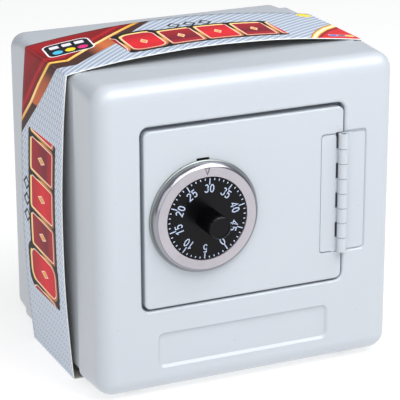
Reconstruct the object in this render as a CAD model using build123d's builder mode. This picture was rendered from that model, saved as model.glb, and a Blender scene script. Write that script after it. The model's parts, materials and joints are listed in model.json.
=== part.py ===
from build123d import *
import os
from math import radians, sin, cos

# Toy safe coin bank in painted sheet steel, with a dial lock and a printed card sleeve.
# Millimetres, +Z up, the door faces -Y. The origin is on the floor, under the middle of the
# whole object. "Depth" always means the distance behind the plane of the front face.

# ---------------------------------------------------------------- driving dimensions
body_width = 151.0
body_height = 149.4
body_depth = 123.1
front_edge_radius, front_corner_radius = 8.2, 8.3
front_rim_radius = 6.0      # the pans' corners get a little tighter from the crown to the rim
rear_edge_radius, rear_corner_radius = 6.2, 7.5
rear_rim_radius = 4.5
sheet = 0.8
ground_gap = 2.4            # floor to the underside of the body
tuck = 4.0                  # how far each shell slides into the next one
tuck_gap = 0.05
wrap_inset = 1.3            # step from the front shell down to the wrap

front_shell_depth = 27.5
rear_cover_start = 106.0    # depth of the seam between the wrap and the rear cover

recess_width, recess_height = 103.2, 88.5
recess_x, recess_z = -2.6, 87.25
recess_depth = 7.0
recess_radius = 4.0
fold_radius = 1.4           # of the sheet round the mouth of the recess
hinge_pocket_depth, hinge_pocket_radius, hinge_pocket_bevel = 1.0, 1.2, 0.8
hinge_pocket_gap = 0.2      # between the pocket and the hinge leaf
doorway_width, doorway_height = 84.0, 72.0
doorway_x, doorway_z = -4.0, 87.0
doorway_radius = 3.0
plinth_width, plinth_height = 85.7, 15.2
plinth_x, plinth_z = -2.65, 22.9
plinth_depth, plinth_radius = 1.2, 2.2

door_width, door_height = 101.0, 85.4
door_x, door_z = -2.0, 86.7
door_front = 0.3            # depth of the door's front face
door_thickness = 6.0
door_radius = 3.0
door_edge_radius = 1.0

hinge_x = 47.5
hinge_depth = -1.35
knuckle_radius = 2.35
pin_radius = 1.4
running_gap = 0.05
hinge_bottom, hinge_height = 58.1, 58.6
knuckle_count = 8
knuckle_gap = 0.25
leaf_sheet = 0.9
frame_leaf_right = 59.7
door_leaf_left = 36.9
leaf_slot = 3.0             # leaf cut-back from the pin axis beside the other leaf's knuckles
door_notch = 3.9            # cut-back of the door's edge behind the barrel
leaf_corner_radius = 1.5

dial_x, dial_z = -23.3, 86.1
ring_radius = 27.0
ring_face_outer, ring_face_inner = 24.5, 20.05
ring_height = 4.5
ring_sheet = 0.9
ring_bulge_radius, ring_bulge_depth = 25.95, 1.35   # middle of the ring's convex bevel
ring_step, ring_base = 0.4, 0.9
tab_width, tab_thickness, tab_inset, tab_length = 5.2, 0.7, 0.7, 2.4
top_slot_width, top_slot_height = 6.4, 1.6          # door slot that shows above the ring
index_width, index_tip, index_base = 2.8, 20.6, 24.2
index_engraving = 0.35
disc_radius = 19.6
disc_front = -3.9
disc_thickness = 1.8
knob_radius = 5.3
knob_reach = 18.7           # knob end to front face
knob_flutes, flute_radius = 44, 0.26
knob_chamfer = 0.5
knob_dish_radius, knob_dish_depth = 4.2, 0.25
press_gap = 0.02
hub_radius, hub_thickness = 7.0, 1.1                # boss behind the dial disc
spindle_radius = 3.0
post_radius = 5.0
bush_flange_radius, bush_flange = 8.0, 1.0
clip_radius, clip_thickness = 4.4, 0.5

case_left, case_right = -42.5, 8.0
case_half_height = 20.0
case_wall = 1.5
case_start, case_end = 6.3, 20.8
cover_thickness = 1.5
screw_radius = 1.2
screw_head_radius, screw_head_height = 2.3, 1.6
screw_cross_length, screw_cross_width, screw_cross_depth = 3.4, 0.6, 0.8
screw_inset, screw_rise, screw_post_radius = 4.0, 16.0, 3.0
case_corner_radius, bolt_window_height = 2.0, 19.2
guide_length, guide_width, guide_rise = 40.0, 1.8, 10.3   # ribs that guide the bolt's carrier
wheel_radius, wheel_thickness = 14.0, 2.0
front_wheel_depth, rear_wheel_depth = 9.0, 12.0
cam_radius, cam_thickness, cam_depth = 13.0, 2.5, 14.5
gate_width, gate_depth = 3.4, 3.8

bolt_tip = -44.5
bolt_front = 9.0
bolt_plate_depth, bolt_plate_thickness = 17.9, 1.5
bolt_travel = 6.0
spring_radius, spring_wire, spring_turns = 1.4, 0.25, 7
fence_gap = 0.4
fence_left, fence_height = -39.5, 2.6
carrier_left, carrier_right, carrier_height = -42.0, -4.0, 18.0
tongue_length, tongue_height, tongue_thickness = 6.0, 12.0, 4.0
seat_radius = 7.5           # of the wheel seat and the spacer
tab_circle, tab_radius = 10.0, 1.1

sleeve_start, sleeve_width = 34.4, 55.0
card = 0.45
sleeve_half_width = 75.9
sleeve_fold_z = 150.25
sleeve_crown_x, sleeve_crown_z = -6.0, 156.2
sleeve_side_bow = 3.9

foot_radius, foot_x = 5.5, 55.0
foot_stem_radius, foot_hole_radius = 2.0, 2.2
foot_bulb_radius, foot_bulb_height = 2.9, 1.6
foot_bottom = 0.8           # feet end just above the card that lies under the safe
front_foot_depth, rear_foot_depth = 16.0, 98.0

slot_width, slot_height, slot_z, slot_radius = 38.0, 5.2, 118.0, 1.2
rear_field_width, rear_field_height, rear_field_depth = 104.0, 96.0, 0.9
rear_field_rise, rear_field_radius = 8.0, 7.0
hood_width, hood_height, hood_reach, hood_wall = 44.0, 14.0, 14.0, 1.5
hood_flange_width, hood_flange_height = 58.0, 18.0
hood_roof_drop = 5.0
rivet_x, rivet_radius, rivet_head_radius, rivet_head = 25.0, 1.5, 2.6, 0.6
strike_width, strike_height, strike_x = 7.3, 30.0, -49.85
lap_width = 24.0

# ---------------------------------------------------------------- derived places
front_y = (knob_reach - body_depth) / 2
body_mid_z = ground_gap + body_height / 2
wrap_radius = front_rim_radius - wrap_inset
cover_inset = wrap_inset + sheet + tuck_gap
knuckle_pitch = hinge_height / knuckle_count

os.makedirs("parts", exist_ok=True)


def behind(depth):
    """Plane parallel to the front face at a depth; its normal points to the front."""
    return Plane.XZ.offset(-(front_y + depth))


def block(start, end, shape, x, z, mode=Mode.ADD):
    """Push a flat shape straight back from one depth to another."""
    with BuildSketch(behind(start)) as outline:
        with Locations((x, z)):
            shape()
    extrude(outline.sketch, amount=start - end, mode=mode)


def rectangle(width, height, radius=0.0):
    """Shape for block(): a rectangle with round corners."""
    if radius:
        return lambda: RectangleRounded(width, height, radius)
    return lambda: Rectangle(width, height)


def disc(radius):
    """Shape for block(): a circle."""
    return lambda: Circle(radius)


def bevelled_mouth(width, height, radius, x, z, lip):
    """Cut a 45 degree bevel round the mouth of a pocket in the front face."""
    with BuildSketch(behind(0)) as mouth:
        with Locations((x, z)):
            RectangleRounded(width + 2 * lip, height + 2 * lip, radius + lip)
    with BuildSketch(behind(lip)) as throat:
        with Locations((x, z)):
            RectangleRounded(width, height, radius)
    loft(Sketch() + [mouth.sketch, throat.sketch], mode=Mode.SUBTRACT)


def pan_blank(crown, rim, inset, edge_radius, corner_radius, rim_radius):
    """Full shape of a drawn pan: ball corners at its crown, slightly tighter corners at its rim."""
    back = 1 if rim > crown else -1
    width, height = body_width - 2 * inset, body_height - 2 * inset
    ball_end = crown + back * edge_radius
    with BuildPart() as blank:
        block(crown, ball_end, rectangle(width, height, corner_radius), 0, body_mid_z)
        crown_face = blank.faces().sort_by(Axis.Y)[0 if back > 0 else -1]
        fillet(crown_face.edges(), edge_radius - 0.01)
        with BuildSketch(behind(ball_end)) as crown_end:
            with Locations((0, body_mid_z)):
                RectangleRounded(width, height, corner_radius)
        with BuildSketch(behind(rim)) as rim_end:
            with Locations((0, body_mid_z)):
                RectangleRounded(width, height, rim_radius)
        loft(Sketch() + [crown_end.sketch, rim_end.sketch])
    return blank.part


def finish(piece, name):
    """Name a finished piece and write it."""
    piece.part.label = name
    export_step(piece.part, f"parts/{name}.step")


# ================================================================ the box
# Front shell: a drawn pan with the door recess, the hinge pocket and the plinth panel
pocket_left = recess_x + recess_width / 2 - 2
pocket_right = frame_leaf_right + hinge_pocket_gap
pocket_width = pocket_right - pocket_left
pocket_x = (pocket_left + pocket_right) / 2
pocket_height = hinge_height + 2 * hinge_pocket_gap
pocket_z = hinge_bottom + hinge_height / 2

front_outside = pan_blank(0, front_shell_depth, 0, front_edge_radius, front_corner_radius, front_rim_radius)
front_inside = pan_blank(sheet, front_shell_depth + 1, sheet, front_edge_radius - sheet,
                         front_corner_radius - sheet, front_rim_radius - sheet)

with BuildPart() as front_shell:
    add(front_outside)
    add(front_inside, mode=Mode.SUBTRACT)
    # sheet that is pushed back behind each pocket
    block(sheet / 2, recess_depth + sheet,
          rectangle(recess_width + 2 * sheet, recess_height + 2 * sheet, recess_radius + sheet),
          recess_x, recess_z)
    block(sheet / 2, hinge_pocket_depth + sheet, rectangle(pocket_width, pocket_height + 2 * sheet),
          pocket_x + sheet, pocket_z)
    block(sheet / 2, plinth_depth + sheet,
          rectangle(plinth_width + 2 * sheet, plinth_height + 2 * sheet, plinth_radius + sheet),
          plinth_x, plinth_z)
    # the recess, with a round fold at its mouth
    block(0, recess_depth, rectangle(recess_width, recess_height, recess_radius),
          recess_x, recess_z, Mode.SUBTRACT)
    fillet(front_shell.faces().sort_by(Axis.Y)[0].inner_wires()[0].edges(), fold_radius)
    # the two shallow pockets, each with a bevelled mouth
    for width, height, radius, x, z, depth, bevel in (
            (pocket_width, pocket_height, hinge_pocket_radius, pocket_x, pocket_z,
             hinge_pocket_depth, hinge_pocket_bevel),
            (plinth_width, plinth_height, plinth_radius, plinth_x, plinth_z, plinth_depth, plinth_depth)):
        block(0, depth, rectangle(width, height, radius), x, z, Mode.SUBTRACT)
        bevelled_mouth(width, height, radius, x, z, bevel)
    # doorway through the floor of the recess
    block(recess_depth - 1, recess_depth + 2, rectangle(doorway_width, doorway_height, doorway_radius),
          doorway_x, doorway_z, Mode.SUBTRACT)
    # holes for the stems of the front feet
    with Locations((-foot_x, front_y + front_foot_depth, ground_gap + sheet / 2),
                   (foot_x, front_y + front_foot_depth, ground_gap + sheet / 2)):
        Cylinder(foot_hole_radius, 4 * sheet, mode=Mode.SUBTRACT)
finish(front_shell, "front_shell")

# Body wrap: one sheet bent into a tube, its front end tucked into the front shell
with BuildPart() as body_wrap:
    wrap_width, wrap_height = body_width - 2 * wrap_inset, body_height - 2 * wrap_inset
    wrap_start = front_shell_depth - tuck
    block(wrap_start, rear_cover_start,
          rectangle(wrap_width, wrap_height, wrap_radius), 0, body_mid_z)
    block(wrap_start, rear_cover_start,
          rectangle(wrap_width - 2 * sheet, wrap_height - 2 * sheet, wrap_radius - sheet),
          0, body_mid_z, Mode.SUBTRACT)
    with Locations((-foot_x, front_y + rear_foot_depth, ground_gap + wrap_inset + sheet / 2),
                   (foot_x, front_y + rear_foot_depth, ground_gap + wrap_inset + sheet / 2)):
        Cylinder(foot_hole_radius, 4 * sheet, mode=Mode.SUBTRACT)
finish(body_wrap, "body_wrap")

# Rear cover: a pan tucked into the back of the wrap, with a pressed-in field and the coin slot
rear_outside = pan_blank(body_depth, rear_cover_start - tuck, cover_inset, rear_edge_radius,
                         rear_corner_radius, rear_rim_radius)
rear_inside = pan_blank(body_depth - sheet, rear_cover_start - tuck - 1, cover_inset + sheet,
                        rear_edge_radius - sheet, rear_corner_radius - sheet, rear_rim_radius - sheet)
field_back = body_depth - rear_field_depth
field_z = body_mid_z + rear_field_rise

with BuildPart() as rear_cover:
    add(rear_outside)
    add(rear_inside, mode=Mode.SUBTRACT)
    block(field_back - sheet, body_depth - sheet / 2,
          rectangle(rear_field_width + 2 * sheet, rear_field_height + 2 * sheet, rear_field_radius + sheet),
          0, field_z)
    with BuildSketch(behind(field_back)) as field_floor:
        with Locations((0, field_z)):
            RectangleRounded(rear_field_width, rear_field_height, rear_field_radius)
    with BuildSketch(behind(body_depth)) as field_mouth:
        with Locations((0, field_z)):
            RectangleRounded(rear_field_width + 2 * rear_field_depth,
                             rear_field_height + 2 * rear_field_depth, rear_field_radius + rear_field_depth)
    loft(Sketch() + [field_floor.sketch, field_mouth.sketch], mode=Mode.SUBTRACT)
    block(field_back - 3, body_depth + 1, rectangle(slot_width, slot_height, slot_radius),
          0, slot_z, Mode.SUBTRACT)
    for side in (-1, 1):
        block(field_back - 3, body_depth + 1, disc(rivet_radius + 0.1), side * rivet_x, slot_z, Mode.SUBTRACT)
finish(rear_cover, "rear_cover")

# Coin hood: moulded guard inside the slot, so that coins can't be shaken out again. Its roof slopes
# down away from the slot, and it is open underneath
hood_back = field_back - sheet
flange_front = hood_back - hood_wall


def hood_wedge(left, width, near_z, far_z, end_z):
    """Cut everything between the hood's slope and a level, over a stretch of its width."""
    near_y, far_y = front_y + flange_front, front_y + hood_back - hood_reach - 1
    with BuildSketch(Plane.YZ.offset(left)) as wedge:
        with BuildLine():
            Polyline((near_y, near_z), (far_y, far_z), (far_y, end_z), (near_y, end_z), close=True)
        make_face()
    extrude(wedge.sketch, amount=width, mode=Mode.SUBTRACT)


with BuildPart() as coin_hood:
    block(flange_front, hood_back, rectangle(hood_flange_width, hood_flange_height, 2.0), 0, slot_z)
    block(hood_back - hood_reach, flange_front, rectangle(hood_width, hood_height), 0, slot_z)
    roof_top = slot_z + hood_height / 2
    inner_width = hood_width - 2 * hood_wall
    hood_wedge(-inner_width / 2, inner_width, roof_top - hood_wall, roof_top - hood_wall - hood_roof_drop,
               slot_z - hood_height)
    hood_wedge(-hood_width, 2 * hood_width, roof_top + 0.2, roof_top + 0.2 - hood_roof_drop,
               slot_z + hood_height)
    block(hood_back - 2, hood_back, rectangle(slot_width + 1, slot_height + 1, slot_radius),
          0, slot_z, Mode.SUBTRACT)
    for side in (-1, 1):
        block(hood_back - 3, hood_back + 1, disc(rivet_radius + 0.1), side * rivet_x, slot_z, Mode.SUBTRACT)
finish(coin_hood, "coin_hood")

# Two plastic rivets hold the hood; their heads lie inside the pressed-in field
with BuildPart() as hood_rivets:
    for side in (-1, 1):
        block(field_back, field_back + rivet_head, disc(rivet_head_radius), side * rivet_x, slot_z)
        block(flange_front - 0.2, field_back, disc(rivet_radius), side * rivet_x, slot_z)
        block(flange_front - 1.2, flange_front - 0.05, disc(rivet_head_radius - 0.3), side * rivet_x, slot_z)
finish(hood_rivets, "hood_rivets")

# Strike plate: stiffens the recess flange where the bolt catches behind it
with BuildPart() as strike_plate:
    block(recess_depth + sheet, recess_depth + 2 * sheet, rectangle(strike_width, strike_height, 1.0),
          strike_x, dial_z)
finish(strike_plate, "strike_plate")


# Push-in rubber feet; the front pair sits on the front shell, the rear pair on the wrap
def feet(depth, seat_z):
    """A pair of feet under a floor whose underside is at seat_z."""
    for side in (-1, 1):
        centre = (side * foot_x, front_y + depth)
        with BuildSketch(Plane.XY.offset(foot_bottom)) as pad:
            with Locations(centre):
                Circle(foot_radius)
        extrude(pad.sketch, amount=seat_z - foot_bottom)
        with BuildSketch(Plane.XY.offset(seat_z)) as stem:
            with Locations(centre):
                Circle(foot_stem_radius)
        extrude(stem.sketch, amount=sheet + 0.2)
        with BuildSketch(Plane.XY.offset(seat_z + sheet + 0.1)) as bulb:
            with Locations(centre):
                Circle(foot_bulb_radius)
        extrude(bulb.sketch, amount=foot_bulb_height, taper=20)


with BuildPart() as front_feet:
    feet(front_foot_depth, ground_gap)
    fillet(front_feet.faces().group_by(Axis.Z)[0].edges(), 0.5)
finish(front_feet, "front_feet")

with BuildPart() as rear_feet:
    feet(rear_foot_depth, ground_gap + wrap_inset)
    fillet(rear_feet.faces().group_by(Axis.Z)[0].edges(), 0.5)
finish(rear_feet, "rear_feet")


# ================================================================ the hinge
def knuckle_spans(first):
    """Bottom and top of every second knuckle, counted from the bottom."""
    for index in range(first, knuckle_count, 2):
        start = hinge_bottom + index * knuckle_pitch
        yield start + knuckle_gap / 2, start + knuckle_pitch - knuckle_gap / 2


def hinge_leaf(first, leaf_front, edge, toward):
    """Leaf plate with its own knuckles; toward is +1 for the frame side and -1 for the door side."""
    leaf_height = hinge_height - 1.2
    leaf_mid_z = hinge_bottom + hinge_height / 2
    inner = hinge_x + toward * leaf_slot
    block(leaf_front, leaf_front + leaf_sheet, rectangle(abs(edge - inner), leaf_height, leaf_corner_radius),
          (inner + edge) / 2, leaf_mid_z)
    for low, high in knuckle_spans(first):
        mid_z, height = (low + high) / 2, high - low
        # root of the knuckle, from the leaf to the barrel; it also squares the leaf's round corners
        block(leaf_front, leaf_front + leaf_sheet, rectangle(leaf_slot + 2, height),
              hinge_x + toward * (leaf_slot + 2) / 2, mid_z)
        with BuildSketch(Plane.XY.offset(low)) as barrel:
            with Locations((hinge_x, front_y + hinge_depth)):
                Circle(knuckle_radius)
        extrude(barrel.sketch, amount=height)
    with BuildSketch(Plane.XY.offset(hinge_bottom - 1)) as bore:
        with Locations((hinge_x, front_y + hinge_depth)):
            Circle(pin_radius + running_gap)
    extrude(bore.sketch, amount=hinge_height + 2, mode=Mode.SUBTRACT)


with BuildPart() as hinge_frame_leaf:
    hinge_leaf(1, 0.1, frame_leaf_right, +1)
finish(hinge_frame_leaf, "hinge_frame_leaf")

with BuildPart() as hinge_door_leaf:
    hinge_leaf(0, 0.0, door_leaf_left, -1)
finish(hinge_door_leaf, "hinge_door_leaf")

with BuildPart() as hinge_pin:
    with BuildSketch(Plane.XY.offset(hinge_bottom + 0.5)):
        with Locations((hinge_x, front_y + hinge_depth)):
            Circle(pin_radius)
    extrude(amount=hinge_height - 1.0)
    chamfer(hinge_pin.edges().filter_by(GeomType.CIRCLE), 0.25)
finish(hinge_pin, "hinge_pin")

# ================================================================ the door
door_back = door_front + door_thickness
leaf_pocket_floor = leaf_sheet
tab_reach = ring_radius - tab_inset

with BuildPart() as door_panel:
    block(door_front, door_back, rectangle(door_width, door_height, door_radius), door_x, door_z)
    fillet(door_panel.faces().sort_by(Axis.Y)[0].edges(), door_edge_radius)
    offset(amount=-sheet, openings=door_panel.faces().sort_by(Axis.Y)[-1])
    # pocket for the hinge leaf, with the sheet pushed back behind it
    door_edge = door_x + door_width / 2
    leaf_width = door_edge - door_leaf_left
    block(door_front + sheet / 2, leaf_pocket_floor + sheet,
          rectangle(leaf_width, hinge_height + 1.6), door_edge - leaf_width / 2 - sheet, pocket_z)
    block(door_front - 1, leaf_pocket_floor + 0.02, rectangle(leaf_width + 0.4, hinge_height + 0.2, 1.0),
          door_edge - leaf_width / 2 + 0.1, pocket_z, Mode.SUBTRACT)
    # cut-back behind the barrel
    block(door_front - 1, door_back + 1, rectangle(2 * door_notch, hinge_height + 0.8),
          door_edge, pocket_z, Mode.SUBTRACT)
    # hole for the lock's post, and the slots for the ring's tabs
    block(door_front - 1, door_front + 2, disc(post_radius + 0.2), dial_x, dial_z, Mode.SUBTRACT)
    for dx, dz in ((1, 0), (0, 1), (-1, 0), (0, -1)):
        across, along = tab_thickness + 0.4, tab_width + 0.8
        block(door_front - 1, door_front + 2, rectangle(across, along) if dx else rectangle(along, across),
              dial_x + dx * tab_reach, dial_z + dz * tab_reach, Mode.SUBTRACT)
    # the top slot is longer and shows above the ring
    block(door_front - 1, door_front + 2, rectangle(top_slot_width, top_slot_height, 0.3),
          dial_x - 0.2, dial_z + ring_radius + 0.1, Mode.SUBTRACT)
finish(door_panel, "door_panel")

case_screw_places = [(x, dial_z + dz)
                      for x in (case_left + screw_inset, case_right - screw_inset)
                      for dz in (-screw_rise, screw_rise)]

with BuildPart() as door_backplate:
    plate_left = door_x - door_width / 2 + sheet + tuck_gap
    plate_right = door_edge - door_notch - 0.3
    block(door_back - sheet, door_back,
          rectangle(plate_right - plate_left, door_height - 2 * sheet - 2 * tuck_gap, door_radius - sheet),
          (plate_left + plate_right) / 2, door_z)
    block(door_back - 2, door_back + 1, disc(post_radius + 0.2), dial_x, dial_z, Mode.SUBTRACT)
    for x, z in case_screw_places:
        block(door_back - 2, door_back + 1, disc(screw_radius + 0.1), x, z, Mode.SUBTRACT)
finish(door_backplate, "door_backplate")

# Dial ring: pressed bezel with a convex bevel, a flat face, an engraved index and four tabs
ring_front = door_front - ring_height
with BuildPart() as dial_ring:
    with BuildSketch(Plane.XY.offset(dial_z)) as ring_section:
        with BuildLine():
            seat = Line((dial_x + ring_face_inner, front_y + door_front - 0.6),
                        (dial_x + ring_face_inner, front_y + ring_front))
            face = Line(seat @ 1, (dial_x + ring_face_outer, front_y + ring_front))
            bevel = ThreePointArc(face @ 1,
                                  (dial_x + ring_bulge_radius, front_y + ring_front + ring_bulge_depth),
                                  (dial_x + ring_radius - ring_step, front_y + door_front - 1.2))
            step = Line(bevel @ 1, (dial_x + ring_radius, front_y + door_front - ring_base))
            wall = Line(step @ 1, (dial_x + ring_radius, front_y + door_front))
            under = ring_front + ring_sheet
            lip = ring_face_inner + ring_sheet
            Polyline(wall @ 1, (dial_x + ring_radius - 1.0, front_y + door_front),
                     (dial_x + ring_radius - 1.4, front_y + door_front - 1.6),
                     (dial_x + ring_face_outer - 0.5, front_y + under),
                     (dial_x + lip, front_y + under),
                     (dial_x + lip, front_y + door_front - 0.6), seat @ 0)
        make_face()
    revolve(ring_section.sketch, axis=Axis((dial_x, front_y, dial_z), (0, 1, 0)))
    # engraved outline of a triangle that points at the scale
    with BuildSketch(behind(ring_front)) as index_groove:
        for half_width, base, tip, mode in (
                (index_width / 2, index_base, index_tip, Mode.ADD),
                (index_width / 4, index_base - 0.4, index_tip + 1.4, Mode.SUBTRACT)):
            with BuildLine():
                Polyline((dial_x - half_width, dial_z + base), (dial_x + half_width, dial_z + base),
                         (dial_x, dial_z + tip), close=True)
            make_face(mode=mode)
    extrude(index_groove.sketch, amount=-index_engraving, mode=Mode.SUBTRACT)
    for dx, dz in ((1, 0), (0, 1), (-1, 0), (0, -1)):
        block(door_front - 0.4, door_front + tab_length,
              rectangle(tab_thickness, tab_width) if dx else rectangle(tab_width, tab_thickness),
              dial_x + dx * tab_reach, dial_z + dz * tab_reach)
finish(dial_ring, "dial_ring")

# ================================================================ the dial
with BuildPart() as dial_disc:
    disc_back = disc_front + disc_thickness
    block(disc_front, disc_back, disc(disc_radius), dial_x, dial_z)
    fillet(dial_disc.faces().sort_by(Axis.Y)[0].edges(), 0.25)
    block(disc_back, disc_back + hub_thickness, disc(hub_radius), dial_x, dial_z)
    block(disc_front - 1, disc_back + 2, disc(spindle_radius + press_gap), dial_x, dial_z, Mode.SUBTRACT)
finish(dial_disc, "dial_disc")

with BuildPart() as dial_knob:
    block(-knob_reach, disc_front, disc(knob_radius), dial_x, dial_z)
    chamfer(dial_knob.faces().sort_by(Axis.Y)[0].edges(), knob_chamfer)
    block(-knob_reach - 1, -knob_reach + knob_dish_depth, disc(knob_dish_radius),
          dial_x, dial_z, Mode.SUBTRACT)
    block(-knob_reach + 6, disc_front + 1, disc(spindle_radius + press_gap), dial_x, dial_z, Mode.SUBTRACT)
    # straight knurling, stopped short of the smooth end
    with BuildSketch(behind(disc_front + 0.5)) as flutes:
        with Locations((dial_x, dial_z)):
            with PolarLocations(knob_radius, knob_flutes):
                Circle(flute_radius)
    extrude(flutes.sketch, amount=knob_reach + disc_front - 1.0, mode=Mode.SUBTRACT)
finish(dial_knob, "dial_knob")

spindle_end = 18.4
flat_height = spindle_radius - 0.6


def shaft_with_flat(clearance=0.0):
    """Shape for block(): the spindle's circle with one flat on its top side."""
    radius = spindle_radius + clearance

    def shape():
        Circle(radius)
        with Locations((0, flat_height + clearance)):
            Rectangle(2 * radius, 2 * radius, align=(Align.CENTER, Align.MAX), mode=Mode.INTERSECT)
    return shape


with BuildPart() as spindle:
    block(-knob_reach + 6.5, cam_depth - 0.1, disc(spindle_radius), dial_x, dial_z)
    block(cam_depth - 0.1, spindle_end, shaft_with_flat(), dial_x, dial_z)
finish(spindle, "spindle")


def gated_wheel(start, thickness, radius, bore):
    """Disc with a gate cut in its left edge."""
    block(start, start + thickness, disc(radius), dial_x, dial_z)
    block(start - 1, start + thickness + 1, bore, dial_x, dial_z, Mode.SUBTRACT)
    block(start - 1, start + thickness + 1, rectangle(2 * gate_depth, gate_width),
          dial_x - radius, dial_z, Mode.SUBTRACT)


def drive_tab(start, end, angle):
    """Small tab by which one wheel carries the next one round."""
    block(start, end, disc(tab_radius), dial_x + tab_circle * cos(radians(angle)),
          dial_z + tab_circle * sin(radians(angle)))


with BuildPart() as drive_cam:
    gated_wheel(cam_depth, cam_thickness, cam_radius, shaft_with_flat(press_gap))
    drive_tab(cam_depth - 0.3, cam_depth, 40)
finish(drive_cam, "drive_cam")

with BuildPart() as spindle_clip:
    clip_start = cam_depth + cam_thickness + 0.1
    block(clip_start, clip_start + clip_thickness, disc(clip_radius), dial_x, dial_z)
    block(cam_depth, spindle_end, shaft_with_flat(press_gap), dial_x, dial_z, Mode.SUBTRACT)
finish(spindle_clip, "spindle_clip")

# ================================================================ the lock
with BuildPart() as spindle_bush:
    block(door_front - bush_flange, door_front, disc(bush_flange_radius), dial_x, dial_z)
    block(door_front, cam_depth - 0.3, disc(post_radius), dial_x, dial_z)
    block(door_front - 2, cam_depth, disc(spindle_radius + running_gap), dial_x, dial_z, Mode.SUBTRACT)
finish(spindle_bush, "spindle_bush")

with BuildPart() as front_wheel:
    gated_wheel(front_wheel_depth, wheel_thickness, wheel_radius, disc(post_radius + running_gap))
    drive_tab(front_wheel_depth + wheel_thickness, front_wheel_depth + wheel_thickness + 0.4, 70)
finish(front_wheel, "front_wheel")

with BuildPart() as rear_wheel:
    gated_wheel(rear_wheel_depth, wheel_thickness, wheel_radius, disc(post_radius + running_gap))
    drive_tab(rear_wheel_depth - 0.4, rear_wheel_depth, 55)
finish(rear_wheel, "rear_wheel")

with BuildPart() as wheel_spacer:
    spacer_depth = front_wheel_depth + wheel_thickness + 0.2
    block(spacer_depth, spacer_depth + 0.6, disc(seat_radius), dial_x, dial_z)
    block(spacer_depth - 1, spacer_depth + 2, disc(post_radius + running_gap), dial_x, dial_z, Mode.SUBTRACT)
finish(wheel_spacer, "wheel_spacer")

case_width = case_right - case_left
case_x = (case_left + case_right) / 2
with BuildPart() as lock_case:
    block(case_start, case_end, rectangle(case_width, 2 * case_half_height, case_corner_radius),
          case_x, dial_z)
    block(case_start + case_wall, case_end,
          rectangle(case_width - 2 * case_wall, 2 * (case_half_height - case_wall), 0.8),
          case_x, dial_z, Mode.SUBTRACT)
    for x, z in case_screw_places:
        block(case_start, case_end, disc(screw_post_radius), x, z)
    for x, z in case_screw_places:
        block(case_start - 1, case_end + 1, disc(screw_radius + 0.15), x, z, Mode.SUBTRACT)
    # seat that holds the front wheel off the floor
    block(case_start + case_wall / 2, front_wheel_depth - 0.2, disc(seat_radius), dial_x, dial_z)
    block(case_start - 1, front_wheel_depth + 1, disc(post_radius + 0.2), dial_x, dial_z, Mode.SUBTRACT)
    # window for the bolt in the left wall
    block(bolt_front - 0.4, case_end + 1, rectangle(2 * case_wall + 1, bolt_window_height),
          case_left, dial_z, Mode.SUBTRACT)
finish(lock_case, "lock_case")

with BuildPart() as lock_cover:
    block(case_end, case_end + cover_thickness,
          rectangle(case_width, 2 * case_half_height, case_corner_radius), case_x, dial_z)
    for side in (-1, 1):
        block(bolt_plate_depth, case_end, rectangle(guide_length, guide_width),
              case_x - 0.5, dial_z + side * guide_rise)
    for x, z in case_screw_places:
        block(case_end - 1, case_end + 3, disc(screw_radius + 0.15), x, z, Mode.SUBTRACT)
finish(lock_cover, "lock_cover")

screw_head_depth = case_end + cover_thickness
with BuildPart() as case_screws:
    for x, z in case_screw_places:
        block(door_back - 1.5, screw_head_depth, disc(screw_radius), x, z)
        block(screw_head_depth, screw_head_depth + screw_head_height, disc(screw_head_radius), x, z)
        for across, along in ((screw_cross_length, screw_cross_width),
                              (screw_cross_width, screw_cross_length)):
            block(screw_head_depth + screw_cross_depth, screw_head_depth + 2, rectangle(across, along),
                  x, z, Mode.SUBTRACT)
finish(case_screws, "case_screws")

# Latch bolt: tongue, fence and a slotted carrier plate behind the wheels; drawn back at rest
wheel_left = dial_x - wheel_radius
carrier_back = bolt_plate_depth + bolt_plate_thickness
with BuildPart() as latch_bolt:
    block(bolt_front, bolt_front + tongue_thickness, rectangle(tongue_length, tongue_height, 0.8),
          bolt_tip + tongue_length / 2, dial_z)
    block(bolt_front + 3, carrier_back, rectangle(3.0, tongue_height), bolt_tip + tongue_length - 1.5, dial_z)
    block(bolt_plate_depth, carrier_back, rectangle(carrier_right - carrier_left, carrier_height),
          (carrier_left + carrier_right) / 2, dial_z)
    # the fence, which drops into the gates of the wheels
    fence_right = wheel_left - fence_gap
    block(bolt_front, cam_depth + cam_thickness, rectangle(fence_right - fence_left, fence_height),
          (fence_left + fence_right) / 2, dial_z)
    # slot that passes the end of the spindle
    with BuildSketch(behind(bolt_plate_depth - 0.5)) as spindle_slot:
        with Locations((dial_x + bolt_travel / 2, dial_z)):
            SlotOverall(bolt_travel + 2 * spindle_radius + 1.4, 2 * spindle_radius + 1.2)
    extrude(spindle_slot.sketch, amount=-bolt_plate_thickness - 1, mode=Mode.SUBTRACT)
    # peg that centres the spring
    with BuildSketch(Plane.YZ.offset(carrier_right - 0.5)) as peg:
        with Locations((front_y + bolt_plate_depth + bolt_plate_thickness / 2, dial_z)):
            Circle(0.7)
    extrude(peg.sketch, amount=3.5)
finish(latch_bolt, "latch_bolt")

# Compression spring between the carrier plate and the right wall of the case
spring_start, spring_end = carrier_right + 0.5, case_right - case_wall - 0.5
spring_y = front_y + bolt_plate_depth + bolt_plate_thickness / 2
with BuildPart() as bolt_spring:
    with BuildLine():
        coil = Helix((spring_end - spring_start) / spring_turns, spring_end - spring_start, spring_radius,
                     center=(spring_start, spring_y, dial_z), direction=(1, 0, 0))
    with BuildSketch(Plane(origin=coil @ 0, z_dir=coil % 0)):
        Circle(spring_wire)
    sweep(path=coil, is_frenet=True)
finish(bolt_spring, "bolt_spring")

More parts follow.
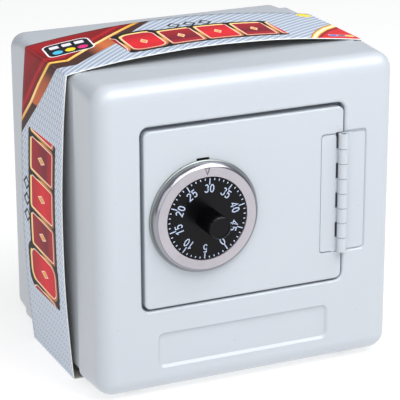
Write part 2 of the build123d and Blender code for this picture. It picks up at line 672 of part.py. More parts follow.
# ================================================================ the card sleeve
# One band of printed board: crowned top, bowed sides, flat bottom with a glued lap
with BuildPart() as card_sleeve:
    with BuildSketch(behind(sleeve_start)) as band:
        with BuildLine():
            side_mid_z = sleeve_fold_z / 2
            half = sleeve_half_width
            ThreePointArc((-half, sleeve_fold_z), (sleeve_crown_x, sleeve_crown_z), (half, sleeve_fold_z))
            ThreePointArc((half, sleeve_fold_z), (half + sleeve_side_bow, side_mid_z), (half, 0))
            Line((half, 0), (-half, 0))
            ThreePointArc((-half, 0), (-half - sleeve_side_bow, side_mid_z), (-half, sleeve_fold_z))
        make_face()
        offset(amount=-card, kind=Kind.INTERSECTION, mode=Mode.SUBTRACT)
    extrude(band.sketch, amount=-sleeve_width)
    block(sleeve_start, sleeve_start + sleeve_width, rectangle(lap_width, card), 0, 1.5 * card)
finish(card_sleeve, "card_sleeve")
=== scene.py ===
import json
import math

import bpy
from mathutils import Matrix, Vector


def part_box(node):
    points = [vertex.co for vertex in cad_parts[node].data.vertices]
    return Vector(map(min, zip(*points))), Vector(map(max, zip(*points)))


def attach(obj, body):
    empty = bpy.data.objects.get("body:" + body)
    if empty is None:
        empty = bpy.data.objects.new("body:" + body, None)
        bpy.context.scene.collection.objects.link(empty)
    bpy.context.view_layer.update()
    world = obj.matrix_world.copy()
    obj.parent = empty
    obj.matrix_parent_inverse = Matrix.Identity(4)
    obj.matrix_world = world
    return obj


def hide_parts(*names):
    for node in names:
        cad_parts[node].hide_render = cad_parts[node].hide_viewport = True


# Looks of a toy safe coin bank: enamelled shells, a chromed dial lock and a printed card sleeve.
# Metres in the part's own frame; MM turns the small sizes below into metres.
MM = 0.001

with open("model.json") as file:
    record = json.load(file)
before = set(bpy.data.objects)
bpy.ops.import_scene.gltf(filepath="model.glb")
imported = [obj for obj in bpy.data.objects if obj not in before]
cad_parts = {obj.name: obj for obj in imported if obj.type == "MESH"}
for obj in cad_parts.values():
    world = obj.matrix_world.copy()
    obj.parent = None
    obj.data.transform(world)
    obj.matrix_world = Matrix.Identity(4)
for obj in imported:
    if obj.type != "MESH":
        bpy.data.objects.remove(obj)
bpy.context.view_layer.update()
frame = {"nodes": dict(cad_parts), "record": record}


# ---------------------------------------------------------------- node building
def paint(red, green, blue):
    """A print colour, 0 to 255, as the linear colour that the shader sockets take."""
    def linear(value):
        value /= 255
        return value / 12.92 if value <= 0.04045 else ((value + 0.055) / 1.055) ** 2.4
    return (linear(red), linear(green), linear(blue), 1.0)


class Field:
    """One output of a node tree. Arithmetic on it adds Math nodes."""

    def __init__(self, shader, socket):
        self.shader, self.socket = shader, socket

    def op(self, kind, *others):
        node = self.shader.node("ShaderNodeMath", operation=kind)
        for place, value in enumerate((self,) + others):
            self.shader.plug(node.inputs[place], value)
        return Field(self.shader, node.outputs[0])

    def __add__(self, other):
        return self.op("ADD", other)

    def __sub__(self, other):
        return self.op("SUBTRACT", other)

    def __mul__(self, other):
        return self.op("MULTIPLY", other)

    def __truediv__(self, other):
        return self.op("DIVIDE", other)

    def __abs__(self):
        return self.op("ABSOLUTE")

    __radd__, __rmul__ = __add__, __mul__

    def __rsub__(self, other):
        return self * -1.0 + other

    def frac(self):
        return self.op("FRACT")

    def floor(self):
        return self.op("FLOOR")

    def least(self, other):
        return self.op("MINIMUM", other)

    def most(self, other):
        return self.op("MAXIMUM", other)

    def under(self, edge, soft=0.12):
        """Mask that is 1 where the field is below the edge."""
        node = self.shader.node("ShaderNodeMapRange", interpolation_type="SMOOTHSTEP")
        for name, value in (("Value", edge - self if isinstance(edge, Field) else self * -1.0 + edge),
                            ("From Min", -soft), ("From Max", soft)):
            self.shader.plug(node.inputs[name], value)
        return Field(self.shader, node.outputs["Result"])

    def over(self, edge, soft=0.12):
        """Mask that is 1 where the field is above the edge."""
        return 1.0 - self.under(edge, soft)

    def near(self, middle, reach, soft=0.12):
        """Mask that is 1 within reach of the middle."""
        return abs(self - middle).under(reach, soft)


class Shader:
    """Builds one material."""

    def __init__(self, name):
        self.material = bpy.data.materials.new(name)
        self.material.use_nodes = True
        self.tree = self.material.node_tree
        self.tree.nodes.clear()

    def node(self, kind, **settings):
        node = self.tree.nodes.new(kind)
        for name, value in settings.items():
            setattr(node, name, value)
        return node

    def plug(self, socket, value):
        if isinstance(value, Field):
            self.tree.links.new(value.socket, socket)
        else:
            socket.default_value = value

    def split(self, socket):
        node = self.node("ShaderNodeSeparateXYZ")
        self.tree.links.new(socket, node.inputs[0])
        return [Field(self, output) for output in node.outputs]

    def place(self):
        """The point on the part, in metres in the part's frame."""
        return self.node("ShaderNodeTexCoord").outputs["Object"]

    def noise(self, point, scale, detail=3.0, rough=0.55):
        node = self.node("ShaderNodeTexNoise")
        self.tree.links.new(point, node.inputs["Vector"])
        for name, value in (("Scale", scale), ("Detail", detail), ("Roughness", rough)):
            node.inputs[name].default_value = value
        return Field(self, node.outputs[0])

    def stretched(self, point, sizes):
        """The point with each axis scaled, for grain that runs one way."""
        node = self.node("ShaderNodeMapping")
        self.tree.links.new(point, node.inputs["Vector"])
        node.inputs["Scale"].default_value = sizes
        return node.outputs[0]

    def specks(self, point, scale, size, share):
        """Mask of scattered round specks; share is how many of the cells have one."""
        node = self.node("ShaderNodeTexVoronoi")
        self.tree.links.new(point, node.inputs["Vector"])
        node.inputs["Scale"].default_value = scale
        chosen = self.split(node.outputs["Color"])[0].under(share, 0.001)
        return Field(self, node.outputs["Distance"]).under(size, size * 0.4) * chosen

    def curve(self, value, low, high, top, points):
        """Straight-line function through points; value runs low to high and the result 0 to top."""
        node = self.node("ShaderNodeFloatCurve")
        line = node.mapping.curves[0]
        places = [((x - low) / (high - low), y / top) for x, y in points]
        while len(line.points) < len(places):
            line.points.new(0.5, 0.5)
        for point, where in zip(line.points, sorted(places)):
            point.location, point.handle_type = where, "VECTOR"
        node.mapping.update()
        self.plug(node.inputs["Value"], (value - low) / (high - low))
        return Field(self, node.outputs[0]) * top

    def ramp(self, value, stops):
        node = self.node("ShaderNodeValToRGB")
        marks = node.color_ramp.elements
        while len(marks) < len(stops):
            marks.new(0.5)
        for mark, (place, colour) in zip(marks, stops):
            mark.position, mark.color = place, colour
        self.plug(node.inputs[0], value)
        return Field(self, node.outputs[0])

    def mix(self, mask, a, b, blend="MIX"):
        """Colour a where the mask is 0 and b where it is 1."""
        node = self.node("ShaderNodeMix", data_type="RGBA", blend_type=blend)
        self.plug(node.inputs[0], mask)
        self.plug(node.inputs[6], a)
        self.plug(node.inputs[7], b)
        return Field(self, node.outputs[2])

    def shade(self, colour, amount):
        """The colour times a brightness field."""
        node = self.node("ShaderNodeVectorMath", operation="SCALE")
        self.plug(node.inputs[0], colour)
        self.plug(node.inputs["Scale"], amount)
        return Field(self, node.outputs[0])

    def bump(self, height, strength, distance, before=None):
        node = self.node("ShaderNodeBump")
        self.plug(node.inputs["Height"], height)
        node.inputs["Strength"].default_value = strength
        node.inputs["Distance"].default_value = distance
        if before is not None:
            self.plug(node.inputs["Normal"], before)
        return Field(self, node.outputs[0])

    def finish(self, **inputs):
        """Closes the material with a Principled surface."""
        surface = self.node("ShaderNodeBsdfPrincipled")
        for name, value in inputs.items():
            self.plug(surface.inputs[name.replace("_", " ")], value)
        output = self.node("ShaderNodeOutputMaterial")
        self.tree.links.new(surface.outputs[0], output.inputs[0])
        return self.material


# ---------------------------------------------------------------- sizes taken from the frame
disc_low, disc_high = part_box("dial_disc")
ring_low, ring_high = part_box("dial_ring")
dial_x, dial_z = (disc_low.x + disc_high.x) / 2, (disc_low.z + disc_high.z) / 2
ring_radius = (ring_high.x - ring_low.x) / 2
sleeve_low, sleeve_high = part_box("card_sleeve")


# ---------------------------------------------------------------- materials
ENAMEL_A, ENAMEL_B = (178, 184, 192), (182, 188, 195)
FACE_INSET, BASE_INSET = 2.55, 0.55                  # mm inside the ring's outer edge
INDEX_TIP, INDEX_BASE, INDEX_HALF = 20.6, 24.2, 1.4  # mm from the middle of the dial


def enamel():
    """Stoved light grey-blue enamel on pressed steel, with a faint orange peel."""
    m = Shader("shell_enamel")
    point = m.place()
    cloud = m.noise(point, 18.0, 2.0)
    colour = m.mix(cloud, paint(*ENAMEL_A), paint(*ENAMEL_B))
    dust = m.specks(point, 420.0, 0.10, 0.035)
    colour = m.mix(dust * 0.5, colour, paint(120, 112, 104))
    scuff = m.noise(m.stretched(point, (1.0, 1.0, 6.0)), 60.0, 5.0, 0.7)
    peel = m.noise(point, 620.0, 2.0)
    wave = m.noise(point, 70.0, 1.0)
    normal = m.bump(wave, 0.10, 0.6 * MM, m.bump(peel, 0.05, 0.05 * MM))
    return m.finish(Base_Color=colour, Roughness=0.30 + scuff * 0.12 + dust * 0.3,
                    Normal=normal, Coat_Weight=0.25, Coat_Roughness=0.10)


def ring_metal():
    """Chromed steel: a satin face inside a polished bevel, with a dull base band."""
    m = Shader("ring_chrome")
    point = m.place()
    x, z = m.split(point)[::2]
    across, up = (x - dial_x) / MM, (z - dial_z) / MM
    radius = (across * across + up * up).op("SQRT")
    edge = ring_radius / MM
    face = radius.under(edge - FACE_INSET, 0.12)
    base = radius.over(edge - BASE_INSET, 0.10)
    cloud = m.noise(point, 260.0, 4.0, 0.6)
    grain = m.noise(point, 1800.0, 3.0)
    colour = m.mix(face, paint(148, 148, 155), m.mix(cloud, paint(168, 163, 171), paint(180, 176, 183)))
    colour = m.mix(base, colour, paint(138, 144, 142))
    # Dark line where the polished bevel meets the satin face: a painted dark reflection along the bevel's
    # inner edge.
    line = radius.near(edge - 2.5, 0.10, 0.05)
    colour = m.mix(line * 0.6, colour, paint(70, 66, 78))
    # Outline of the engraved index triangle, darkened: painted shade standing in for the shade inside its
    # groove.
    tall = INDEX_BASE - INDEX_TIP
    side = (abs(across) * tall - (up - INDEX_TIP) * INDEX_HALF) / math.hypot(tall, INDEX_HALF)
    index = side.most(up - INDEX_BASE).near(-0.16, 0.17, 0.06)
    colour = m.mix(index * 0.75, colour, paint(84, 78, 84))
    spots = m.specks(point, 500.0, 0.16, 0.05) * face
    colour = m.mix(spots * 0.35, colour, paint(120, 112, 110))
    rough = m.mix(face, (0.16, 0.16, 0.16, 1), (0.40, 0.40, 0.40, 1))
    rough = m.split(m.mix(base, rough, (0.36, 0.36, 0.36, 1)).socket)[0]
    normal = m.bump(grain, 0.08, 0.03 * MM)
    return m.finish(Base_Color=colour, Metallic=1.0 - face * 0.55, Roughness=rough + cloud * 0.06,
                    Normal=normal)


def moulded(name, dark, light, rough, texture, dust_share=0.03, shine=0.5):
    """Moulded plastic or rubber with a fine texture, a little dust and a cloudy shift in tone and
    roughness.
    """
    m = Shader(name)
    point = m.place()
    cloud = m.noise(point, 45.0, 4.0)
    colour = m.mix(cloud, dark, light)
    dust = m.specks(point, 700.0, 0.12, dust_share)
    colour = m.mix(dust * 0.35, colour, paint(126, 124, 122))
    fine = m.noise(point, 2400.0, 2.0)
    normal = m.bump(fine, texture, 0.05 * MM)
    return m.finish(Base_Color=colour, Roughness=rough + cloud * 0.10, Normal=normal,
                    Specular_IOR_Level=shine)


def zinc():
    """Bright zinc plate with drawn grain and dull patches."""
    m = Shader("zinc_plate")
    point = m.place()
    cloud = m.noise(point, 160.0, 5.0, 0.65)
    grain = m.noise(m.stretched(point, (1.0, 1.0, 0.05)), 2600.0, 2.0)
    colour = m.mix(cloud, paint(160, 162, 166), paint(192, 194, 196))
    return m.finish(Base_Color=colour, Metallic=1.0, Roughness=0.26 + cloud * 0.2 + grain * 0.05,
                    Normal=m.bump(grain, 0.12, 0.04 * MM))


def ink():
    """Pale blue-white pad print."""
    m = Shader("dial_ink")
    worn = m.noise(m.place(), 900.0, 4.0, 0.7)
    colour = m.mix(worn.over(0.62, 0.1) * 0.35, paint(176, 190, 216), paint(96, 104, 122))
    return m.finish(Base_Color=colour, Roughness=0.45 + worn * 0.1,
                    Normal=m.bump(worn, 0.1, 0.02 * MM))


def board(name, colour_a, colour_b):
    """Uncoated side or cut edge of the card."""
    m = Shader(name)
    point = m.place()
    fibre = m.noise(m.stretched(point, (1.0, 3.0, 1.0)), 900.0, 4.0, 0.7)
    return m.finish(Base_Color=m.mix(fibre, colour_a, colour_b), Roughness=0.85,
                    Normal=m.bump(fibre, 0.25, 0.05 * MM))


# ---------------------------------------------------------------- the sleeve's printed side
# Print coordinates in mm: run goes round the band, 0 at the fold between the left side and the
# top; back is the distance from the sleeve's front edge.
TOP_RUN = 151.8
SIDE_RUN = 150.1
RIB_PITCH, WEAVE_PITCH, WEAVE_LENGTH = 2.9, 2.3, 4.6
RIB_SLOPE = math.radians(38)
DIAGONAL = 0.7071
WEAVE_DARK, WEAVE_LIGHT = (144, 156, 173), (194, 201, 212)


def rounded(a, b, middle_a, middle_b, half_a, half_b, corner):
    """Distance outside a rectangle with round corners; negative inside it."""
    qa, qb = abs(a - middle_a) - (half_a - corner), abs(b - middle_b) - (half_b - corner)
    outside = (qa.most(0.0) * qa.most(0.0) + qb.most(0.0) * qb.most(0.0)).op("SQRT")
    return outside + qa.most(qb).least(0.0) - corner


def weave(m, run, back, top):
    """Silver ground: slanting ribs on the top, a basket weave on the sides."""
    rib = abs(((back * math.cos(RIB_SLOPE) - run * math.sin(RIB_SLOPE)) / RIB_PITCH).frac() - 0.5)
    rib_light = rib.under(0.17, 0.13)
    strands = (back - run) * DIAGONAL / WEAVE_PITCH
    along = (back + run) * DIAGONAL / WEAVE_LENGTH + strands.floor() * 0.5
    strand, cell = abs(strands.frac() - 0.5), abs(along.frac() - 0.5)
    cell_light = strand.under(0.36, 0.13) * cell.under(0.45, 0.05)
    light = m.mix(top, cell_light, rib_light)
    return m.mix(m.split(light.socket)[0], paint(*WEAVE_DARK), paint(*WEAVE_LIGHT))


def plate(m, colour, run, back, top, right):
    """Black plate with a gold rim round four plain red blocks, each with a lozenge hole."""
    a = m.split(m.mix(top, run + 117.6, run - 35.9).socket)[0]
    a = m.split(m.mix(right, a, run - TOP_RUN - 33.0).socket)[0]
    b = m.split(m.mix(top, (back - 9.0) * 0.80, back - 8.0).socket)[0]
    low = rounded(a, b, 40.5, 14.4, 40.8, 14.6, 1.5)
    tall = rounded(a, b, 12.0, 15.8, 12.2, 16.6, 6.5)
    inside = low.least(tall).under(0.0)
    pitch = 19.0
    turn = (a - 2.4) / pitch
    index = turn.floor()
    first = index.under(0.5, 0.01)
    odd = (index * 0.5).frac().over(0.25, 0.01)
    across = (turn.frac() - 0.5) * pitch
    lean = across - (b - 14.4) * 0.07
    usual = rounded(lean, b, 0.0, 14.4, 7.7, 10.9, 1.0)
    block = m.split(m.mix(first, usual, rounded(lean, b, 0.0, 15.8, 7.9, 12.6, 4.5)).socket)[0]
    hole = abs(lean) / 1.7 + abs(b - 14.6) / 3.4
    colour = m.mix(inside, colour, paint(24, 20, 26))
    wedge = (pitch / 2 - abs(across)).under((b - 12.0) * 0.11, 0.2)
    gold = m.ramp(b / 30.0, [(0.05, paint(160, 92, 62)), (0.45, paint(208, 150, 84)),
                             (0.92, paint(238, 208, 112))])
    rim = block.under(1.75, 0.22) * inside * (1.0 - wedge)
    colour = m.mix(rim, colour, gold)
    colour = m.mix(block.under(0.5) * inside, colour, paint(240, 206, 190))
    red = m.ramp(b / 30.0, [(0.1, paint(186, 34, 42)), (0.45, paint(206, 34, 44)),
                            (0.9, paint(164, 30, 40))])
    maroon = m.ramp(b / 30.0, [(0.1, paint(170, 34, 44)), (0.35, paint(110, 26, 38)),
                               (0.9, paint(158, 30, 40))])
    fill = m.mix(odd, red, maroon)
    colour = m.mix(block.under(0.0) * inside, colour, fill)
    colour = m.mix(hole.under(1.15, 0.06) * inside, colour, paint(240, 206, 190))
    return m.mix(hole.under(0.9, 0.06) * inside, colour, gold)


def badge(m, colour, run, back):
    """Dark badge with a white edge, three coloured dots and three white bars."""
    lean = run - back * 0.12 - 11.0
    body = rounded(lean, back, 0.0, 37.5, 11.0, 8.6, 3.0)
    colour = m.mix(body.under(0.8), colour, paint(226, 226, 232))
    colour = m.mix(body.under(0.0), colour, paint(20, 16, 24))
    for middle, dot in ((-6.3, (70, 180, 214)), (0.0, (236, 206, 40)), (6.3, (208, 44, 120))):
        spot = rounded(lean, back, middle, 33.6, 2.5, 2.5, 2.45)
        colour = m.mix(spot.under(0.0), colour, paint(*dot))
        bar = rounded(lean, back, middle, 41.6, 2.3, 2.1, 0.6)
        colour = m.mix(bar.under(0.0), colour, paint(216, 216, 224))
    return colour


def card_print():
    """Varnished offset print on the outside of the sleeve."""
    m = Shader("sleeve_print")
    point = m.place()
    uv = m.node("ShaderNodeUVMap", uv_map="print").outputs[0]
    run, back = (field / MM for field in m.split(uv)[:2])
    top = run.over(0.0, 0.02) * run.under(TOP_RUN, 0.02)
    right = run.over(TOP_RUN, 0.02)
    colour = weave(m, run, back, top)

    # gold line and brown band, both from the rear edge forward to the left fold and back again
    gold = m.curve(run, -60, 80, 80, [(-60, 80), (-35.6, 55), (-24, 43), (-13, 34), (0, 22), (8.1, 18.8),
                                      (31.7, 36), (57.6, 55), (80, 73)])
    border = m.curve(run, -60, 80, 80, [(-60, 74), (-42.4, 55), (-22.9, 33.5), (-12.3, 23), (0, 12),
                                        (9.4, 9.8), (35, 27), (64.4, 55), (80, 70)])
    corner = run.near(10.0, 70.0, 0.5)
    travel = (run + 60) / 140
    brown = m.ramp(travel, [
        (0.00, paint(66, 40, 38)), (0.258, paint(66, 40, 38)), (0.262, paint(190, 98, 58)),
        (0.36, paint(160, 84, 54)), (0.40, paint(70, 42, 38)), (0.57, paint(62, 36, 32)),
        (0.64, paint(190, 104, 60)), (0.69, paint(170, 92, 54)), (0.74, paint(66, 40, 36))])
    colour = m.mix(back.over(border) * corner, colour, brown)
    beyond = (back - gold) * 0.78
    streak = m.noise(uv, 60.0, 2.0)
    red = m.ramp(beyond / 30.0 + (streak - 0.5) * 0.05, [
        (0.03, paint(112, 14, 22)), (0.12, paint(124, 16, 24)), (0.16, paint(172, 30, 36)),
        (0.20, paint(156, 22, 28)), (0.26, paint(118, 18, 24)), (0.55, paint(140, 20, 28)),
        (1.0, paint(150, 24, 32))])
    colour = m.mix(beyond.over(0.9) * corner, colour, red)
    hatch = abs((run * 0.8 + back * 0.6).frac() - 0.5).over(0.2, 0.2)
    arm = m.ramp(travel, [(0.17, paint(226, 160, 66)), (0.28, paint(244, 222, 160)),
                          (0.40, paint(238, 200, 96)), (0.50, paint(240, 196, 84)),
                          (0.62, paint(244, 224, 160)), (0.80, paint(232, 172, 62))])
    line = m.mix(hatch * 0.25, arm, paint(214, 150, 70))
    line = m.mix(beyond.under(-0.55) * 0.6, line, paint(198, 130, 60))
    colour = m.mix(beyond.near(0.0, 1.05) * corner, colour, line)

    # red corner at the front right, with its striped border
    inward = abs(run - TOP_RUN)
    arc = m.curve(inward, 0, 40, 40, [(0, 32.2), (9.9, 23.8), (17.9, 15), (23.5, 7.5), (27.9, 0), (40, 0)])
    depth = (arc - back) * 0.68
    stripe = m.ramp(depth / 8.0, [
        (0.0, paint(118, 78, 62)), (0.09, paint(198, 134, 66)), (0.16, paint(238, 196, 92)),
        (0.30, paint(246, 232, 210)), (0.44, paint(240, 200, 110)), (0.52, paint(196, 126, 62)),
        (0.58, paint(132, 32, 42)), (0.74, paint(150, 34, 42)), (0.80, paint(196, 44, 50))])
    near_corner = inward.under(29.0, 0.2)
    colour = m.mix(depth.over(0.0) * near_corner, colour, stripe)
    for middle, dot in ((12.8, (62, 112, 190)), (8.2, (120, 84, 96)), (3.6, (226, 190, 60))):
        spot = rounded(inward, back, middle, 6.0, 1.9, 1.7, 1.2)
        colour = m.mix(spot.under(0.45) * top, colour, paint(196, 170, 190))
        colour = m.mix(spot.under(0.0) * top, colour, paint(*dot))

    colour = plate(m, colour, run, back, top, right)
    colour = badge(m, colour, run, back)

    # three dark lozenges beyond the plate, a dashed rule in front of it and a yellow disc
    row = m.split(m.mix(top, run + 73.5, run - 79.0).socket)[0]
    shift = m.split(m.mix(top, back - 48.0, back - 41.0).socket)[0]
    lozenge = abs((row / 8.2 + 0.5).frac() - 0.5) * 8.2 / 3.6 + abs(shift) / 4.4
    colour = m.mix(lozenge.near(0.82, 0.20, 0.05) * abs(row).under(12.3), colour, paint(30, 28, 34))
    dashes = (run / 1.7).frac().under(0.7, 0.08) * back.near(4.9, 0.45) * run.near(77.0, 33.0) * top
    colour = m.mix(dashes * 0.55, colour, paint(96, 102, 114))
    coin = rounded(run, back, TOP_RUN - 5.9, 50.6, 3.8, 3.8, 3.75)
    colour = m.mix(coin.under(0.0), colour, paint(226, 204, 66))
    colour = m.mix(coin.near(-0.9, 0.18), colour, paint(196, 168, 48))

    # print mottle, rubbed folds and light scuffs
    mottle = m.noise(point, 240.0, 3.0)
    colour = m.shade(colour, 1.12 + mottle * 0.10)
    fold = run.near(0.0, 0.35, 0.3).most(run.near(TOP_RUN, 0.35, 0.3))
    rubbed = m.noise(point, 700.0, 4.0, 0.7).over(0.5, 0.12)
    colour = m.mix(fold * rubbed * 0.10, colour, paint(214, 206, 204))
    scuff = m.noise(m.stretched(point, (1.0, 0.2, 1.0)), 900.0, 5.0, 0.75).over(0.68, 0.05)
    colour = m.mix(scuff * 0.12, colour, paint(220, 220, 224))
    tooth = m.noise(point, 1500.0, 3.0)
    sag = m.noise(point, 28.0, 2.0)
    normal = m.bump(sag, 0.15, 1.2 * MM, m.bump(tooth, 0.08, 0.03 * MM))
    return m.finish(Base_Color=colour, Roughness=0.48 + mottle * 0.10 + scuff * 0.2, Normal=normal,
                    Specular_IOR_Level=0.18)


# ---------------------------------------------------------------- CAD nodes
BLACK, SOFT_BLACK = paint(3, 3, 6), paint(9, 9, 13)
looks = {
    "shell_paint": enamel(),
    "bezel_metal": ring_metal(),
    "dial_plastic": moulded("dial_black", BLACK, SOFT_BLACK, 0.20, 0.04, 0.01, 0.16),
    "steel": zinc(),
    "lock_plastic": moulded("lock_black", paint(30, 30, 33), paint(48, 48, 52), 0.48, 0.30),
    "wheel_plastic": moulded("natural_nylon", paint(206, 202, 186), paint(222, 218, 204), 0.42, 0.12),
    "foot_rubber": moulded("foot_rubber", paint(34, 34, 36), paint(52, 52, 54), 0.70, 0.35, 0.08),
    "sleeve_card": board("sleeve_board", paint(176, 170, 160), paint(196, 190, 178)),
}
for subpart in frame["record"]["subparts"]:
    mesh = frame["nodes"][subpart["node"]].data
    mesh.materials.clear()
    mesh.materials.append(looks[subpart["material_slot"]])


# ---------------------------------------------------------------- pieces in mesh code
def piece(name, points, faces, materials, body, smooth=False):
    """A mesh object in the part's frame that moves with a body."""
    mesh = bpy.data.meshes.new(name)
    mesh.from_pydata(points, [], faces)
    mesh.validate()
    for material in materials:
        mesh.materials.append(material)
    if smooth:
        mesh.shade_smooth()
    obj = bpy.data.objects.new(name, mesh)
    bpy.context.scene.collection.objects.link(obj)
    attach(obj, body)
    return obj


def arc(centre_x, centre_y, reach_x, reach_y, start, end, steps=14):
    """Points along part of an ellipse; angles in degrees, anticlockwise."""
    return [(centre_x + reach_x * math.cos(math.radians(start + (end - start) * k / steps)),
             centre_y + reach_y * math.sin(math.radians(start + (end - start) * k / steps)))
            for k in range(steps + 1)]


# Centre lines of the numerals, in mm: each digit is 4 high with its foot at 0
DIGITS = {
    "0": [arc(0, 2, 0.84, 1.73, 0, 360, 28)],
    "1": [[(-0.62, 2.98), (0.22, 3.73), (0.22, 0.02)]],
    "2": [arc(0, 2.9, 0.83, 0.83, 170, -28) + [(-0.86, 0.27), (0.95, 0.27)]],
    "3": [arc(-0.02, 2.92, 0.76, 0.81, 150, -90), arc(0, 1.22, 0.85, 0.95, 90, -155)],
    "4": [[(0.42, 0.0), (0.42, 3.7), (-0.95, 1.1), (1.02, 1.1)]],
    "5": [[(0.78, 3.73), (-0.58, 3.73), (-0.72, 2.05)] + arc(-0.02, 1.4, 0.86, 1.13, 138, -150)],
}
STROKE, DIGIT_PITCH = 0.52, 2.72
INK_FRONT = disc_low.y - 0.04 * MM
INK_BACK = disc_low.y + 0.05 * MM


def ribbon(line, width):
    """Left and right edges of a stroke of one width along a line."""
    edges = []
    for k, (x, y) in enumerate(line):
        ax, ay = line[max(k - 1, 0)]
        bx, by = line[min(k + 1, len(line) - 1)]
        ahead = Vector((bx - x, by - y))
        behind = Vector((x - ax, y - ay))
        ahead = ahead.normalized() if ahead.length else behind.normalized()
        behind = behind.normalized() if behind.length else ahead
        middle = (ahead + behind).normalized()
        stretch = min(1 / max(middle.dot(ahead), 0.3), 2.0)
        side = Vector((-middle.y, middle.x)) * width / 2 * stretch
        edges.append(((x + side.x, y + side.y), (x - side.x, y - side.y)))
    return edges


def on_dial(x, y, angle, lift):
    """A point given beside and along the radius at a clockwise angle from the top of the dial."""
    s, c = math.sin(angle), math.cos(angle)
    return (dial_x + (x * c + y * s) * MM, lift, dial_z + (-x * s + y * c) * MM)


def stamp(strokes, width, angle):
    """Points and faces of flat printed strokes, with a little thickness."""
    points, faces = [], []
    for line in strokes:
        first = len(points)
        edges = ribbon(line, width)
        for left, right in edges:
            for x, y in (left, right):
                points.append(on_dial(x, y, angle, INK_FRONT))
                points.append(on_dial(x, y, angle, INK_BACK))
        for k in range(len(edges) - 1):
            a = first + 4 * k
            faces += [(a, a + 2, a + 6, a + 4), (a, a + 4, a + 5, a + 1), (a + 2, a + 3, a + 7, a + 6)]
        last = first + 4 * (len(edges) - 1)
        faces += [(first, first + 1, first + 3, first + 2), (last, last + 2, last + 3, last + 1)]
    return points, faces


dial_ink = ink()
SCALE_TURN = math.radians(4.2)
DIVISION, TOP_VALUE = 7.2, 30          # degrees per division, and the value at the top
LONG_TICK_WIDTH, SHORT_TICK_WIDTH = 0.50, 0.46
NUMERAL_FOOT, TICK_END, LONG_TICK, SHORT_TICK = 12.35, 19.25, 16.15, 18.35
for value in range(0, 50, 5):
    label = str(value)
    angle = SCALE_TURN + math.radians(DIVISION * (value - TOP_VALUE))
    strokes = []
    for place, digit in enumerate(label):
        shift = (place - (len(label) - 1) / 2) * DIGIT_PITCH
        for line in DIGITS[digit]:
            strokes.append([(x + shift, y + NUMERAL_FOOT) for x, y in line])
    points, faces = stamp(strokes, STROKE, angle)
    piece("dial_numeral_" + label.zfill(2), points, faces, [dial_ink], "dial")

points, faces = [], []
for mark in range(50):
    long = mark % 5 == 0
    inner, width = (LONG_TICK, LONG_TICK_WIDTH) if long else (SHORT_TICK, SHORT_TICK_WIDTH)
    angle = SCALE_TURN + math.radians(DIVISION * (mark - TOP_VALUE))
    more_points, more_faces = stamp([[(0, inner), (0, TICK_END)]], width, angle)
    faces += [tuple(index + len(points) for index in face) for face in more_faces]
    points += more_points
piece("dial_ticks", points, faces, [dial_ink], "dial")


# ---------------------------------------------------------------- the card sleeve
def through(start, middle, end, steps):
    """Points on the circle through three points, from start to end."""
    (ax, az), (bx, bz), (cx, cz) = start, middle, end
    d = 2 * (ax * (bz - cz) + bx * (cz - az) + cx * (az - bz))
    aa, bb, cc = ax ** 2 + az ** 2, bx ** 2 + bz ** 2, cx ** 2 + cz ** 2
    ux = (aa * (bz - cz) + bb * (cz - az) + cc * (az - bz)) / d
    uz = (aa * (cx - bx) + bb * (ax - cx) + cc * (bx - ax)) / d
    radius = math.hypot(ax - ux, az - uz)
    first = math.atan2(az - uz, ax - ux)
    sweep = (math.atan2(cz - uz, cx - ux) - first + math.pi) % (2 * math.pi) - math.pi
    turns = [first + sweep * k / steps for k in range(steps + 1)]
    return [(ux + radius * math.cos(turn), uz + radius * math.sin(turn)) for turn in turns]


SIDE_BOW, CROWN_RISE, CROWN_X, CARD = 3.9 * MM, 5.99 * MM, -6.0 * MM, 0.45 * MM
FOLD_SHIFT = 0.3             # mm of print on each side of a fold's rounded edge
FOLD_ROUNDING = 0.5 * MM
EDGE_WAVE = 0.12 * MM
SIDE_STEPS, BOTTOM_STEPS = 70, 24
RIGHT_END = TOP_RUN + SIDE_RUN
half = sleeve_high.x - SIDE_BOW
fold_z = sleeve_high.z - CROWN_RISE
floor_z = sleeve_low.z
corners = [(-half, floor_z), (-half, fold_z), (half, fold_z), (half, floor_z)]
middle_z = (fold_z + floor_z) / 2
left_middle, right_middle = (-half - SIDE_BOW, middle_z), (half + SIDE_BOW, middle_z)
crown = (CROWN_X, sleeve_high.z)
bottom = [(half - 2 * half * k / BOTTOM_STEPS, floor_z) for k in range(BOTTOM_STEPS + 1)]
sides = [
    (through(corners[0], left_middle, corners[1], SIDE_STEPS), -SIDE_RUN, 0.0),
    (through(corners[1], crown, corners[2], SIDE_STEPS), 0.0, TOP_RUN),
    (through(corners[2], right_middle, corners[3], SIDE_STEPS), TOP_RUN, RIGHT_END),
    (bottom, RIGHT_END, RIGHT_END + TOP_RUN),
]
loop = []
for number, (line, start, end) in enumerate(sides):
    count = len(line) - 1
    for k in range(count + 1):
        x, z = line[k]
        run = start + (end - start) * k / count
        run += FOLD_SHIFT * ((k == 0) - (k == count))
        if k in (0, count):          # round the fold off: pull the end back along the side
            nx, nz = line[1] if k == 0 else line[count - 1]
            gap = math.hypot(nx - x, nz - z)
            pull = min(FOLD_ROUNDING / gap, 0.45)
            x, z = x + (nx - x) * pull, z + (nz - z) * pull
        loop.append((x, z, run))

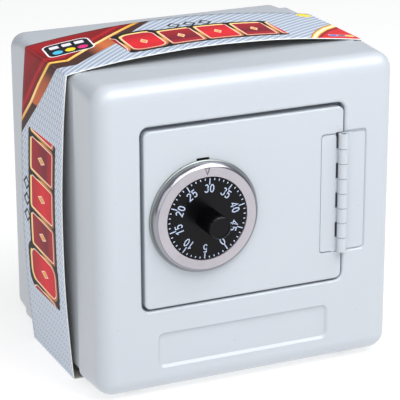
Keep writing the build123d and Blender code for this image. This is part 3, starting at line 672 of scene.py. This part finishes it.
STEPS_BACK = 22
depth = sleeve_high.y - sleeve_low.y
count = len(loop)
outline = [Vector((x, z)) for x, z, run in loop]
normals = []
for k in range(count):
    along = outline[(k + 1) % count] - outline[k - 1]
    along.normalize()
    normals.append(Vector((-along.y, along.x)))   # left of a clockwise path: outwards
points, faces = [], []
for skin in (0, 1):
    for row in range(STEPS_BACK + 1):
        back = row / STEPS_BACK
        for k in range(count):
            at = outline[k] - normals[k] * CARD * skin
            edge = EDGE_WAVE * math.sin(k * 0.31 + 1.0) * (1 - 2 * back)
            points.append((at.x, sleeve_low.y + depth * back + edge, max(at.y, floor_z)))
ring = (STEPS_BACK + 1) * count
for row in range(STEPS_BACK):
    for k in range(count):
        a, b = row * count + k, row * count + (k + 1) % count
        faces.append((a, b, b + count, a + count))
        faces.append((a + ring, a + ring + count, b + ring + count, b + ring))
outer_faces = len(faces)
for k in range(count):
    a, b = k, (k + 1) % count
    faces.append((a, a + ring, b + ring, b))
    a, b = STEPS_BACK * count + k, STEPS_BACK * count + (k + 1) % count
    faces.append((a, b, b + ring, a + ring))
card_edge = board("card_edge", paint(232, 234, 232), paint(246, 246, 244))
sleeve = piece("printed_sleeve", points, faces, [card_print(), looks["sleeve_card"], card_edge],
               "sleeve", smooth=True)
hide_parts("card_sleeve")
print_map = sleeve.data.uv_layers.new(name="print")
for polygon in sleeve.data.polygons:
    skins = [vertex >= ring for vertex in polygon.vertices]
    polygon.material_index = 2 if any(skins) and not all(skins) else (1 if all(skins) else 0)
    if polygon.material_index == 2:
        polygon.use_smooth = False
    columns = [vertex % count for vertex in polygon.vertices]
    wraps = max(columns) - min(columns) > 1
    for corner, vertex in zip(polygon.loop_indices, polygon.vertices):
        k, row = vertex % ring % count, vertex % ring // count
        run = loop[k][2] + (2 * TOP_RUN + 2 * SIDE_RUN if wraps and k == 0 else 0)
        print_map.data[corner].uv = (run * MM, row / STEPS_BACK * depth)


# ---------------------------------------------------------------- floor, light and camera
FLOOR_SIZE, FLOOR_DROP, FLOOR_GLOW = 12.0, 0.2 * MM, 0.66
FLOOR_COLOUR = (0.42, 0.42, 0.42, 1)
WORLD_COLOUR, WORLD_STRENGTH = (0.97, 0.985, 1.0, 1), 0.38
CAMERA_TURN = (-24.14, 19.25, -0.19)      # azimuth, elevation and roll in degrees
CAMERA_PLACE = (-0.37730, -0.83789, 0.39471)
LENS, SENSOR = 180.3, 36.0


def floor():
    """The plain pale floor, which glows a little."""
    half = FLOOR_SIZE / 2
    mesh = bpy.data.meshes.new("floor")
    mesh.from_pydata([(-half, -half, 0), (half, -half, 0), (half, half, 0), (-half, half, 0)],
                     [], [(0, 1, 2, 3)])
    obj = bpy.data.objects.new("floor", mesh)
    bpy.context.scene.collection.objects.link(obj)
    obj.location = (0, 0, -FLOOR_DROP)
    m = Shader("floor")
    mesh.materials.append(m.finish(Base_Color=FLOOR_COLOUR, Roughness=0.9,
                                   Emission_Color=(1, 1, 1, 1), Emission_Strength=FLOOR_GLOW))


def softbox(name, width, height, power, place, target):
    lamp = bpy.data.lights.new(name, "AREA")
    lamp.shape, lamp.size, lamp.size_y, lamp.energy = "RECTANGLE", width, height, power
    obj = bpy.data.objects.new(name, lamp)
    bpy.context.scene.collection.objects.link(obj)
    obj.location = place
    obj.rotation_euler = (Vector(target) - Vector(place)).to_track_quat("-Z", "Y").to_euler()


floor()
softbox("key", 0.80, 0.55, 6.4, (0.34, -0.38, 0.80), (0, -0.03, 0.10))
softbox("fill_left", 1.5, 1.1, 7.0, (-1.10, -1.25, 0.62), (0, 0, 0.07))
softbox("fill_front", 0.8, 0.5, 3.8, (-0.08, -0.60, 0.76), (0, 0, 0.14))
world = bpy.data.worlds.new("studio")
bpy.context.scene.world = world
world.use_nodes = True
world.node_tree.nodes["Background"].inputs[0].default_value = WORLD_COLOUR
world.node_tree.nodes["Background"].inputs[1].default_value = WORLD_STRENGTH

azimuth, elevation, roll = (math.radians(value) for value in CAMERA_TURN)
back = Vector((math.sin(azimuth) * math.cos(elevation), -math.cos(azimuth) * math.cos(elevation),
               math.sin(elevation)))
level = Vector((math.cos(azimuth), math.sin(azimuth), 0))
rise = back.cross(level)
right = math.cos(roll) * level + math.sin(roll) * rise
up = math.cos(roll) * rise - math.sin(roll) * level
camera_data = bpy.data.cameras.new("camera")
camera_data.lens, camera_data.sensor_width = LENS, SENSOR
camera = bpy.data.objects.new("camera", camera_data)
bpy.context.scene.collection.objects.link(camera)
pose = Matrix((right, up, back)).transposed().to_4x4()
pose.translation = Vector(CAMERA_PLACE)
camera.matrix_world = pose
bpy.context.scene.camera = camera
bpy.context.scene.view_settings.view_transform = "Standard"
